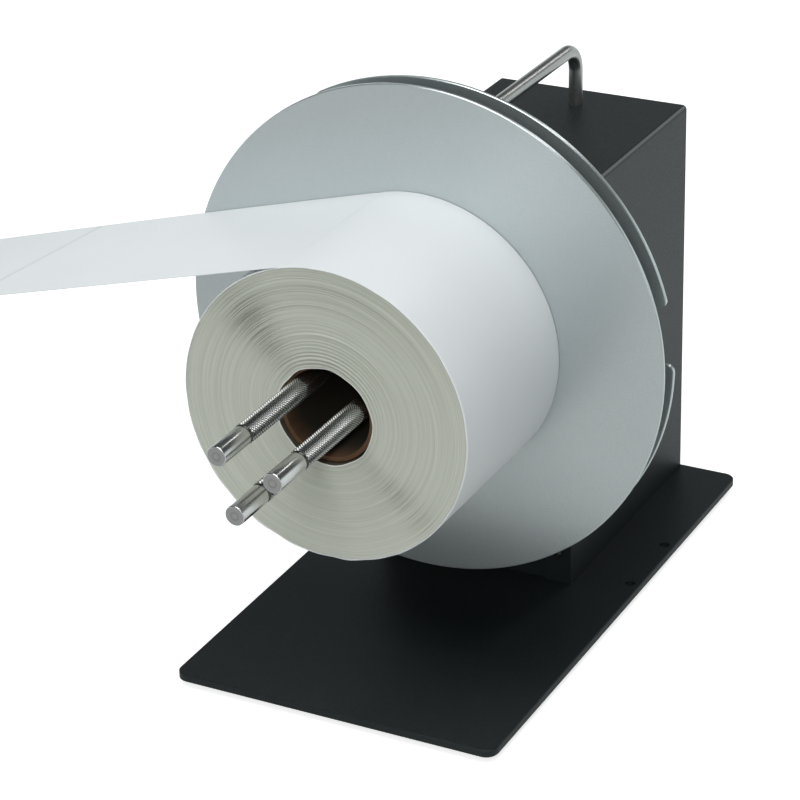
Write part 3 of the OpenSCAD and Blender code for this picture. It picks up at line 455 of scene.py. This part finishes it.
def knob_pointer():
    """White paint in the pointer groove of the speed knob, which stands at its slow end."""
    low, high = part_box("speed_knob")
    width, length, inner_end = mm(1.1), mm(4.9), mm(3.75)
    floor_y, top_y = high.y - mm(0.8), high.y - mm(0.15)
    heading = math.radians(130)
    out = inner_end + length / 2
    place = ((low.x + high.x) / 2 + out * math.sin(heading), (floor_y + top_y) / 2,
             (low.z + high.z) / 2 + out * math.cos(heading))
    clear_selection()
    bpy.ops.mesh.primitive_cube_add(size=1, location=place, rotation=(0, heading, 0))
    bpy.context.object.scale = (width, top_y - floor_y, length)
    pointer = open_piece("knob_pointer")
    bpy.ops.mesh.select_all(action="SELECT")
    bpy.ops.mesh.bevel(offset=mm(0.15), segments=2)
    close_piece(40)
    return pointer


rod_1 = knurled_rod()
rod_2 = rod_copy(rod_1, 2, 0.9)
rod_3 = rod_copy(rod_1, 3, 2.1)
roll = wound_paper()
strip = label_strip()
pointer = knob_pointer()

for number, rod in enumerate((rod_1, rod_2, rod_3), 1):
    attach(rod, f"rod_carrier_{number}")
    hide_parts(f"rod_{number}")
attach(roll, "label_roll")
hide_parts("paper_roll")
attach(strip, "web")
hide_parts("outer_wrap", "web_tail")
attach(pointer, "speed_control")


# Materials
def add(tree, kind, inputs=None, **settings):
    """Adds a node. inputs maps a socket to a value or to another node's output."""
    made = tree.nodes.new(kind)
    for name, value in settings.items():
        setattr(made, name, value)
    for name, value in (inputs or {}).items():
        if isinstance(value, bpy.types.NodeSocket):
            tree.links.new(value, made.inputs[name])
        else:
            made.inputs[name].default_value = value
    return made


def maths(tree, operation, first, second=0.0):
    """The result of a sum on one or two values."""
    return add(tree, "ShaderNodeMath", {0: first, 1: second}, operation=operation).outputs[0]


def mixed_colour(tree, share, first, second):
    """The first colour, or the second where the share is 1. A Mix node's colour sockets are 6, 7 and 2."""
    return add(tree, "ShaderNodeMix", {0: share, 6: first, 7: second}, data_type="RGBA").outputs[2]


def object_place(tree):
    """Where a point lies on the object, in metres."""
    return add(tree, "ShaderNodeTexCoord").outputs["Object"]


def spread(tree, value, low, high, from_low=0.3, from_high=0.7):
    """Takes a value to a range."""
    return add(tree, "ShaderNodeMapRange", {"Value": value, "From Min": from_low, "From Max": from_high,
                                            "To Min": low, "To Max": high}).outputs[0]


def noise(tree, place, size, detail, roughness=0.5):
    """A noise from 0 to 1; a larger size number makes it finer."""
    return add(tree, "ShaderNodeTexNoise", {"Vector": place, "Scale": size, "Detail": detail,
                                            "Roughness": roughness}).outputs["Fac"]


def new_group(name, inputs, outputs):
    """An empty shader node group with float inputs, as (name, value), and float outputs."""
    group = bpy.data.node_groups.new(name, "ShaderNodeTree")
    for label, value in inputs:
        socket = group.interface.new_socket(name=label, in_out="INPUT", socket_type="NodeSocketFloat")
        socket.default_value = value
    for label in outputs:
        group.interface.new_socket(name=label, in_out="OUTPUT", socket_type="NodeSocketFloat")
    return group, add(group, "NodeGroupInput").outputs, add(group, "NodeGroupOutput").inputs


def coat_grain_group():
    """The fine bumpy skin of a coat or moulding, with a slow drift of tone."""
    group, given, out = new_group(
        "coat_grain", [("Grain size", 900.0), ("Drift size", 18.0)], ["Height", "Speckle", "Drift"])
    place = object_place(group)
    grain = noise(group, place, given["Grain size"], 3.0, 0.6)
    cells = add(group, "ShaderNodeTexVoronoi", {"Vector": place, "Scale": given["Grain size"]},
                feature="SMOOTH_F1")
    group.links.new(maths(group, "ADD", grain, cells.outputs["Distance"]), out["Height"])
    group.links.new(grain, out["Speckle"])
    group.links.new(noise(group, place, given["Drift size"], 4.0, 0.55), out["Drift"])
    return group


def turned_rings_group():
    """Rings round the spindle axis, as turning or winding leaves them, uneven round each ring."""
    group, given, out = new_group(
        "turned_rings", [("Rings per metre", 3000.0), ("Unevenness", 30.0)], ["Rings", "Broad"])
    centred = add(group, "ShaderNodeMapping",
                  {"Vector": object_place(group), "Location": (-AXIS_X, 0, -AXIS_Z)})
    parts = add(group, "ShaderNodeSeparateXYZ", {"Vector": centred.outputs[0]}).outputs
    flat = add(group, "ShaderNodeCombineXYZ", {"X": parts["X"], "Z": parts["Z"]})
    radius = add(group, "ShaderNodeVectorMath", {0: flat.outputs[0]}, operation="LENGTH").outputs["Value"]
    side = maths(group, "MULTIPLY", parts["X"], given["Unevenness"])
    up = maths(group, "MULTIPLY", parts["Z"], given["Unevenness"])
    fine = maths(group, "MULTIPLY", radius, given["Rings per metre"])
    slow = maths(group, "MULTIPLY", fine, 0.12)
    narrow = add(group, "ShaderNodeCombineXYZ", {"X": side, "Y": fine, "Z": up})
    wide = add(group, "ShaderNodeCombineXYZ", {"X": side, "Y": slow, "Z": up})
    group.links.new(noise(group, narrow.outputs[0], 1.0, 4.0, 0.7), out["Rings"])
    group.links.new(noise(group, wide.outputs[0], 1.0, 2.0), out["Broad"])
    return group


coat_grain = coat_grain_group()
turned_rings = turned_rings_group()
finishes = {}


def use_group(tree, group, **values):
    """Places a shared group in a material with its own values."""
    placed = add(tree, "ShaderNodeGroup", node_tree=group)
    for name, value in values.items():
        placed.inputs[name.replace("_", " ")].default_value = value
    return placed.outputs


def new_finish(slot, **sockets):
    """An empty material for a slot, with a Principled shader; sockets are its constant values."""
    finishes[slot] = bpy.data.materials.new(slot)
    finishes[slot].use_nodes = True
    tree = finishes[slot].node_tree
    shader = tree.nodes["Principled BSDF"].inputs
    for name, value in sockets.items():
        shader[name.replace("_", " ")].default_value = value
    return tree, shader


def two_tone(tree, value, first, second):
    """A colour between two, by a 0-1 value."""
    ramp = add(tree, "ShaderNodeValToRGB", {"Fac": value})
    for stop, position, colour in zip(ramp.color_ramp.elements, (0.3, 0.7), (first, second)):
        stop.position, stop.color = position, (*colour, 1)
    return ramp.outputs["Color"]


def bump(tree, height, strength, depth):
    """A bump normal; depth is in metres."""
    return add(tree, "ShaderNodeBump", {"Height": height, "Strength": strength, "Distance": depth}).outputs[0]


def grained(slot, dark, light, rough, grain_size, drift_size, depth, **sockets):
    """A coat, moulding or metal with a fine skin: two tones, a range of roughness and a fine bump."""
    tree, shader = new_finish(slot, **sockets)
    skin = use_group(tree, coat_grain, Grain_size=grain_size, Drift_size=drift_size)
    tree.links.new(two_tone(tree, skin["Drift"], dark, light), shader["Base Color"])
    tree.links.new(spread(tree, skin["Speckle"], *rough), shader["Roughness"])
    tree.links.new(bump(tree, skin["Height"], 0.6, depth), shader["Normal"])


def ringed(slot, dark, light, rough, rings, unevenness, depth, **sockets):
    """A turned or wound face: rings of two tones round the spindle axis."""
    tree, shader = new_finish(slot, **sockets)
    marks = use_group(tree, turned_rings, Rings_per_metre=rings, Unevenness=unevenness)
    tree.links.new(two_tone(tree, marks["Rings"], dark, light), shader["Base Color"])
    tree.links.new(spread(tree, marks["Broad"], *rough), shader["Roughness"])
    tree.links.new(bump(tree, marks["Rings"], 0.5, depth), shader["Normal"])


def marked(tree, name):
    """The level that a piece's vertices keep under a name."""
    return add(tree, "ShaderNodeAttribute", attribute_name=name).outputs["Fac"]


def paint_over(tree, share, colour):
    """Lays a colour over a finish's own where the share is 1."""
    base = tree.nodes["Principled BSDF"].inputs["Base Color"]
    tree.links.new(mixed_colour(tree, share, base.links[0].from_socket, (*colour, 1)), base)


def paint_marks(slot, name, colour):
    """Lays a colour on the vertices marked under a name."""
    tree = finishes[slot].node_tree
    paint_over(tree, marked(tree, name), colour)


def paint_shade_lines(slot, name, rings, unevenness, colour):
    """Paints shade as dark lines between the turns where the vertices marked under a name let them come
    loose.
    """
    tree = finishes[slot].node_tree
    turns = use_group(tree, turned_rings, Rings_per_metre=rings, Unevenness=unevenness)["Rings"]
    line = spread(tree, turns, 1, 0.2, 0.44, 0.52)
    paint_over(tree, maths(tree, "MULTIPLY", line, marked(tree, name)), colour)


def paint_fold_highlights(slot, colour):
    """Paints light lines along the housing's two long top folds: a painted highlight."""
    tree = finishes[slot].node_tree
    place = add(tree, "ShaderNodeSeparateXYZ", {"Vector": object_place(tree)}).outputs
    along = maths(tree, "ADD", maths(tree, "ABSOLUTE", place["X"]), place["Z"])
    corner = HOUSE_HIGH.x + HOUSE_HIGH.z
    paint_over(tree, spread(tree, along, 0, 1, corner - mm(1.55), corner - mm(1.35)), colour)


def paint_inside_shade(slot, colour):
    """Paints shade into the core, darker from its front end inwards."""
    tree = finishes[slot].node_tree
    depth = add(tree, "ShaderNodeSeparateXYZ", {"Vector": object_place(tree)}).outputs["Y"]
    paint_over(tree, spread(tree, depth, 0, 1, ROLL_FRONT + mm(3), ROLL_FRONT + mm(16)), colour)


grained("coated_steel", dark=(0.0045, 0.0058, 0.006), light=(0.007, 0.0088, 0.009), rough=(0.42, 0.56),
        grain_size=1400, drift_size=14, depth=mm(0.02),
        Specular_IOR_Level=0.42, Specular_Tint=(0.84, 0.98, 1, 1))
# Painted highlight along the housing's top folds.
paint_fold_highlights("coated_steel", (0.12, 0.125, 0.125))
grained("foot_rubber", dark=(0.012, 0.012, 0.012), light=(0.022, 0.022, 0.022), rough=(0.7, 0.9),
        grain_size=1200, drift_size=60, depth=mm(0.03))
grained("zinc_steel", dark=(0.5, 0.51, 0.52), light=(0.66, 0.67, 0.67), rough=(0.25, 0.42),
        grain_size=500, drift_size=160, depth=mm(0.005), Metallic=1)
grained("black_steel", dark=(0.02, 0.02, 0.021), light=(0.045, 0.045, 0.046), rough=(0.32, 0.5),
        grain_size=900, drift_size=120, depth=mm(0.008), Metallic=0.7)
grained("handle_steel", dark=(0.37, 0.374, 0.365), light=(0.44, 0.444, 0.435), rough=(0.27, 0.34),
        grain_size=1600, drift_size=60, depth=mm(0.007), Metallic=1)
ringed("machined_aluminium", dark=(0.56, 0.57, 0.57), light=(0.72, 0.73, 0.73), rough=(0.28, 0.4),
       rings=6000, unevenness=8, depth=mm(0.01), Metallic=1)
ringed("bearing_steel", dark=(0.6, 0.6, 0.59), light=(0.72, 0.72, 0.7), rough=(0.12, 0.25),
       rings=5000, unevenness=5, depth=mm(0.003), Metallic=1)
grained("motor_paint", dark=(0.05, 0.052, 0.054), light=(0.075, 0.077, 0.08), rough=(0.35, 0.5),
        grain_size=800, drift_size=40, depth=mm(0.01))
grained("board_green", dark=(0.012, 0.085, 0.035), light=(0.02, 0.14, 0.06), rough=(0.3, 0.45),
        grain_size=500, drift_size=260, depth=mm(0.01))
grained("black_plastic", dark=(0.012, 0.012, 0.013), light=(0.021, 0.021, 0.022), rough=(0.38, 0.55),
        grain_size=2200, drift_size=40, depth=mm(0.012))
grained("rocker_plastic", dark=(0.01, 0.01, 0.011), light=(0.016, 0.016, 0.017), rough=(0.2, 0.32),
        grain_size=2600, drift_size=60, depth=mm(0.006))
grained("felt", dark=(0.05, 0.05, 0.052), light=(0.12, 0.12, 0.12), rough=(0.85, 1.0),
        grain_size=1500, drift_size=220, depth=mm(0.15))
grained("disc_aluminium", dark=(0.555, 0.6, 0.606), light=(0.585, 0.63, 0.636), rough=(0.26, 0.32),
        grain_size=3200, drift_size=10, depth=mm(0.004), Metallic=0.8)
grained("rod_steel", dark=(0.62, 0.625, 0.615), light=(0.67, 0.675, 0.665), rough=(0.2, 0.23),
        grain_size=1500, drift_size=90, depth=mm(0.0006), Metallic=1)
# Painted shade on the rods: dark knurl valleys, end groove and tip face.
paint_marks("rod_steel", "rod_painted_shade", (0.215, 0.217, 0.211))
grained("nylon", dark=(0.72, 0.71, 0.66), light=(0.8, 0.79, 0.74), rough=(0.38, 0.5),
        grain_size=900, drift_size=60, depth=mm(0.006))
ringed("wound_paper", dark=(0.48, 0.495, 0.425), light=(0.63, 0.65, 0.575), rough=(0.65, 0.85),
       rings=1500, unevenness=12, depth=mm(0.09), Specular_IOR_Level=0.3)
# Painted shade: dark lines between loose turns near the hole, on two spokes and at the top.
paint_shade_lines("wound_paper", "loose_turn_shade", 1700, 5, (0.28, 0.288, 0.238))
# Painted highlight: a near-white line round the hole's inner edge.
paint_marks("wound_paper", "paper_edge_highlight", (0.84, 0.85, 0.81))
# Painted shade: the hole's inner wall is dark.
paint_marks("wound_paper", "inner_wall_shade", (0.1, 0.085, 0.062))
ringed("cardboard", dark=(0.11, 0.055, 0.026), light=(0.18, 0.092, 0.044), rough=(0.75, 0.9),
       rings=2500, unevenness=60, depth=mm(0.08))
# Painted shade inside the core, deepening inwards.
paint_inside_shade("cardboard", (0.06, 0.05, 0.034))
grained("label_web", dark=(0.785, 0.812, 0.825), light=(0.815, 0.84, 0.855), rough=(0.36, 0.46),
        grain_size=700, drift_size=12, depth=mm(0.004))
paint_marks("label_web", "label_cut", (0.63, 0.645, 0.655))

for node in nodes.values():
    slot = node.data.materials[0].name.split(".")[0]
    node.data.materials[0] = finishes[slot]
for piece, slot in ((rod_1, "rod_steel"), (rod_2, "rod_steel"), (rod_3, "rod_steel"), (roll, "wound_paper"),
                    (strip, "label_web"), (pointer, "nylon")):
    piece.data.materials.clear()
    piece.data.materials.append(finishes[slot])


# Floor, light and camera
WHITE = (1, 1, 1, 1)
COOL_WHITE = (0.93, 1, 1, 1)
FLOOR_GREY = (0.68, 0.68, 0.68, 1)
FLOOR_SEEN = 0.76
FLOOR_GLOW = (0.0, 0.46)
FLOOR_GLOW_FROM, FLOOR_GLOW_TO = -0.25, 0.3
WORLD_LIGHT = 0.33
WALL_GLOW = (1.0, 0.07)
WALL_FADE_FROM, WALL_FADE_TO = 0.16, 0.38
LIGHT_AIM = Vector((0, -0.09, 0.14))
CAMERA_PLACE = Vector((mm(571.99), mm(-1189.466), mm(718.556)))
CAMERA_AIM = Vector((mm(-13.589), mm(-84.165), mm(112.734)))
CAMERA_ROLL = math.radians(-1.593)
CAMERA_SENSOR = 36
CAMERA_LENS = 134.17


def ray(tree, kind):
    """1 for rays of a kind, such as Is Camera Ray."""
    return add(tree, "ShaderNodeLightPath").outputs[kind]


def background_share(tree):
    """1 for rays that look at the background: straight, by reflection or through a clear piece."""
    share = maths(tree, "MAXIMUM", ray(tree, "Is Camera Ray"), ray(tree, "Is Glossy Ray"))
    return maths(tree, "MAXIMUM", share, ray(tree, "Is Transmission Ray"))


def background_tint(tree):
    """White for the camera and a cool white for what the background lights or is mirrored in."""
    return mixed_colour(tree, ray(tree, "Is Camera Ray"), COOL_WHITE, WHITE)


def studio_floor():
    """A pale floor that shows white and keeps the shadow. It glows in mirrors behind the object."""
    clear_selection()
    bpy.ops.mesh.primitive_plane_add(size=8, location=(0, 0, FLOOR_Z - mm(0.2)))
    floor = bpy.context.object
    floor.name = "studio_floor"
    finish = bpy.data.materials.new("studio_floor")
    finish.use_nodes = True
    tree = finish.node_tree
    shader = tree.nodes["Principled BSDF"].inputs
    shader["Base Color"].default_value = FLOOR_GREY
    shader["Roughness"].default_value = 0.9
    shader["Specular IOR Level"].default_value = 0.1
    depth = add(tree, "ShaderNodeSeparateXYZ", {"Vector": object_place(tree)}).outputs["Y"]
    rise = spread(tree, depth, *FLOOR_GLOW, FLOOR_GLOW_FROM, FLOOR_GLOW_TO)
    glow = maths(tree, "MULTIPLY", background_share(tree), rise)
    seen = maths(tree, "MULTIPLY", ray(tree, "Is Camera Ray"), FLOOR_SEEN)
    tree.links.new(background_tint(tree), shader["Emission Color"])
    tree.links.new(maths(tree, "MAXIMUM", seen, glow), shader["Emission Strength"])
    floor.data.materials.append(finish)


def studio_world():
    """White to the camera, a soft even light, and in mirrors a bright wall that darkens upwards."""
    world = bpy.data.worlds.new("studio")
    bpy.context.scene.world = world
    world.use_nodes = True
    tree = world.node_tree
    background = tree.nodes["Background"].inputs
    heading = add(tree, "ShaderNodeTexCoord").outputs["Generated"]
    height = add(tree, "ShaderNodeSeparateXYZ", {"Vector": heading}).outputs["Z"]
    wall = spread(tree, height, *WALL_GLOW, WALL_FADE_FROM, WALL_FADE_TO)
    level = add(tree, "ShaderNodeMix", {"Factor": background_share(tree), "A": WORLD_LIGHT, "B": wall})
    strength = maths(tree, "MAXIMUM", level.outputs[0], ray(tree, "Is Camera Ray"))
    tree.links.new(background_tint(tree), background["Color"])
    tree.links.new(strength, background["Strength"])


def soft_light(name, place, watts, width, height):
    """A softbox that faces the object."""
    clear_selection()
    bpy.ops.object.light_add(type="AREA", location=place)
    lamp = bpy.context.object
    lamp.name = name
    lamp.rotation_euler = (LIGHT_AIM - Vector(place)).to_track_quat("-Z", "Y").to_euler()
    lamp.data.shape = "RECTANGLE"
    lamp.data.size, lamp.data.size_y = width, height
    lamp.data.energy = watts


studio_floor()
studio_world()
soft_light("top_softbox", (0.05, -0.4, 1.65), 15.5, 1.2, 1.2)
soft_light("front_softbox", (0.2, -1.6, 0.9), 6, 0.9, 0.9)
soft_light("back_strip", (0.26, 1.0, 1.0), 1.2, 0.12, 0.75)

view = bpy.data.cameras.new("photo_view")
camera = bpy.data.objects.new("photo_view", view)
bpy.context.scene.collection.objects.link(camera)
facing = (CAMERA_AIM - CAMERA_PLACE).to_track_quat("-Z", "Y").to_matrix()
facing = facing @ Matrix.Rotation(CAMERA_ROLL, 3, "Z")
camera.matrix_world = Matrix.Translation(CAMERA_PLACE) @ facing.to_4x4()
view.sensor_width = CAMERA_SENSOR
view.lens = CAMERA_LENS
view.clip_start, view.clip_end = 0.05, 50
bpy.context.scene.camera = camera
bpy.context.scene.view_settings.view_transform = "Standard"

bpy.context.view_layer.update()
